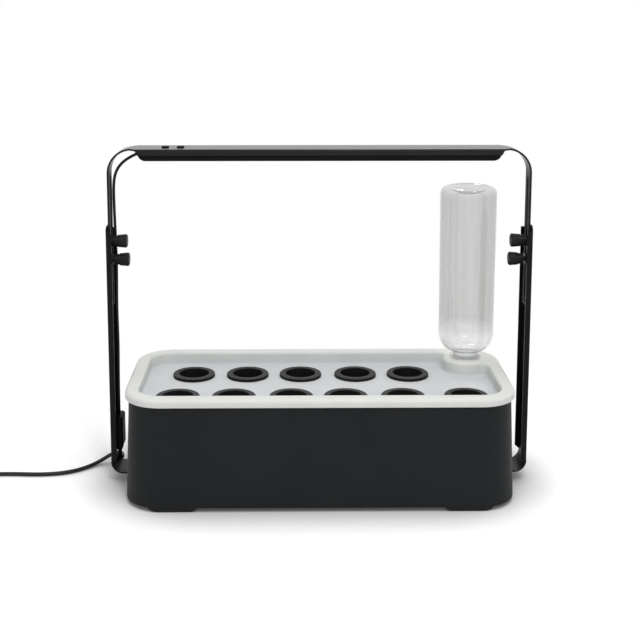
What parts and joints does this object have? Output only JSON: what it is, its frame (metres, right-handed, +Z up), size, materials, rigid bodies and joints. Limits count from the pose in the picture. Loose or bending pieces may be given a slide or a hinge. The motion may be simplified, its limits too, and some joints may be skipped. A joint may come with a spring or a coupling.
{
  "type": "countertop hydroponic garden",
  "caption": "Countertop hydroponic garden: dark tub, pale growing tray with lift-out cups, inverted water bottle and a clamped lamp bridge that slides up and down on its legs.",
  "frame": {"origin": "on the floor under the middle of the tub", "axes": "+X along the tub to the bottle's end, +Y to the back, +Z up"},
  "size_m": [0.6591, 0.2065, 0.3634],
  "materials": {
    "tub_plastic": "moulded charcoal, matte",
    "tray_plastic": "moulded off-white, satin",
    "cup_plastic": "moulded grey, finely speckled, matte",
    "bottle_plastic": "clear, blown, glossy",
    "cap_plastic": "moulded white",
    "pale_rubber": "soft, pale",
    "black_paint": "powder coat, satin",
    "housing_plastic": "moulded, satin",
    "black_plastic": "moulded, satin",
    "black_rubber": "smooth, matte",
    "steel": "plated",
    "led_board_metal": "white lacquer",
    "led_yellow": "resin",
    "board_green": "lacquered board",
    "diffuser_plastic": "frosted"
  },
  "bodies": {
    "tub": {"tub": "tub_plastic", "foot_pads": "black_rubber", "stand_frame": "black_paint", "base_screws": "steel", "clamp_studs": "steel", "clamp_washers": "steel", "socket_box": "black_plastic", "dc_jack": "black_plastic", "socket_screws": "steel", "dc_plug": "black_rubber", "lamp_cable": "black_rubber", "power_cord": "black_rubber", "cord_coil": "black_rubber", "cord_tail": "black_rubber", "usb_plug_grip": "black_rubber", "usb_plug_shell": "steel"},
    "lamp": {"lamp_bridge": "black_paint", "lamp_housing": "housing_plastic", "housing_screws": "steel", "diffuser": "diffuser_plastic", "led_board": "led_board_metal", "led_chips": "led_yellow", "control_board": "board_green", "tact_switches": "black_plastic", "cable_grommet": "black_rubber"},
    "power_button": {"power_button": "black_plastic"},
    "mode_button": {"mode_button": "black_plastic"},
    "thumb_nut_left_upper": {"thumb_nut_left_upper": "black_plastic"},
    "thumb_nut_right_upper": {"thumb_nut_right_upper": "black_plastic"},
    "thumb_nut_left_lower": {"thumb_nut_left_lower": "black_plastic"},
    "thumb_nut_right_lower": {"thumb_nut_right_lower": "black_plastic"},
    "tray": {"growing_tray": "tray_plastic"},
    "bottle": {"bottle": "bottle_plastic", "bottle_cap": "cap_plastic", "cap_seal": "pale_rubber"},
    "cup_1": {"grow_cup_1": "cup_plastic"},
    "cup_2": {"grow_cup_2": "cup_plastic"},
    "cup_3": {"grow_cup_3": "cup_plastic"},
    "cup_4": {"grow_cup_4": "cup_plastic"},
    "cup_5": {"grow_cup_5": "cup_plastic"},
    "cup_6": {"grow_cup_6": "cup_plastic"},
    "cup_7": {"grow_cup_7": "cup_plastic"},
    "cup_8": {"grow_cup_8": "cup_plastic"},
    "cup_9": {"grow_cup_9": "cup_plastic"},
    "cup_10": {"grow_cup_10": "cup_plastic"},
    "cup_11": {"grow_cup_11": "cup_plastic"}
  },
  "joints": [
    {"name": "lamp_slide", "type": "slide", "parent": "tub", "child": "lamp", "axis": [0, 0, 1], "range_m": [-0.06, 0.04], "deforming": ["lamp_cable"]},
    {"name": "power_button_press", "type": "slide", "parent": "lamp", "child": "power_button", "axis": [0, 0, -1], "range_m": [0, 0.0008], "stiffness_N_per_m": 1000, "springref_m": -0.0008},
    {"name": "mode_button_press", "type": "slide", "parent": "lamp", "child": "mode_button", "axis": [0, 0, -1], "range_m": [0, 0.0008], "stiffness_N_per_m": 1000, "springref_m": -0.0008},
    {"name": "thumb_nut_left_upper_turn", "type": "hinge", "parent": "tub", "child": "thumb_nut_left_upper", "pos_m": [-0.2234, 0, 0.2623], "axis": [1, 0, 0], "range_deg": [0, 360]},
    {"name": "thumb_nut_right_upper_turn", "type": "hinge", "parent": "tub", "child": "thumb_nut_right_upper", "pos_m": [0.2234, 0, 0.2623], "axis": [-1, 0, 0], "range_deg": [0, 360]},
    {"name": "thumb_nut_left_lower_turn", "type": "hinge", "parent": "tub", "child": "thumb_nut_left_lower", "pos_m": [-0.2234, 0, 0.2424], "axis": [1, 0, 0], "range_deg": [-360, 360]},
    {"name": "thumb_nut_right_lower_turn", "type": "hinge", "parent": "tub", "child": "thumb_nut_right_lower", "pos_m": [0.2234, 0, 0.2424], "axis": [-1, 0, 0], "range_deg": [-360, 360]},
    {"name": "tray_lift", "type": "slide", "parent": "tub", "child": "tray", "axis": [0, 0, 1], "range_m": [0, 0.062]},
    {"name": "bottle_lift", "type": "slide", "parent": "tray", "child": "bottle", "axis": [0, 0, 1], "range_m": [0, 0.06]},
    {"name": "cup_1_lift", "type": "slide", "parent": "tray", "child": "cup_1", "axis": [0, 0, 1], "range_m": [0, 0.062]},
    {"name": "cup_2_lift", "type": "slide", "parent": "tray", "child": "cup_2", "axis": [0, 0, 1], "range_m": [0, 0.062]},
    {"name": "cup_3_lift", "type": "slide", "parent": "tray", "child": "cup_3", "axis": [0, 0, 1], "range_m": [0, 0.062]},
    {"name": "cup_4_lift", "type": "slide", "parent": "tray", "child": "cup_4", "axis": [0, 0, 1], "range_m": [0, 0.062]},
    {"name": "cup_5_lift", "type": "slide", "parent": "tray", "child": "cup_5", "axis": [0, 0, 1], "range_m": [0, 0.062]},
    {"name": "cup_6_lift", "type": "slide", "parent": "tray", "child": "cup_6", "axis": [0, 0, 1], "range_m": [0, 0.062]},
    {"name": "cup_7_lift", "type": "slide", "parent": "tray", "child": "cup_7", "axis": [0, 0, 1], "range_m": [0, 0.062]},
    {"name": "cup_8_lift", "type": "slide", "parent": "tray", "child": "cup_8", "axis": [0, 0, 1], "range_m": [0, 0.062]},
    {"name": "cup_9_lift", "type": "slide", "parent": "tray", "child": "cup_9", "axis": [0, 0, 1], "range_m": [0, 0.062]},
    {"name": "cup_10_lift", "type": "slide", "parent": "tray", "child": "cup_10", "axis": [0, 0, 1], "range_m": [0, 0.062]},
    {"name": "cup_11_lift", "type": "slide", "parent": "tray", "child": "cup_11", "axis": [0, 0, 1], "range_m": [0, 0.062]}
  ]
}
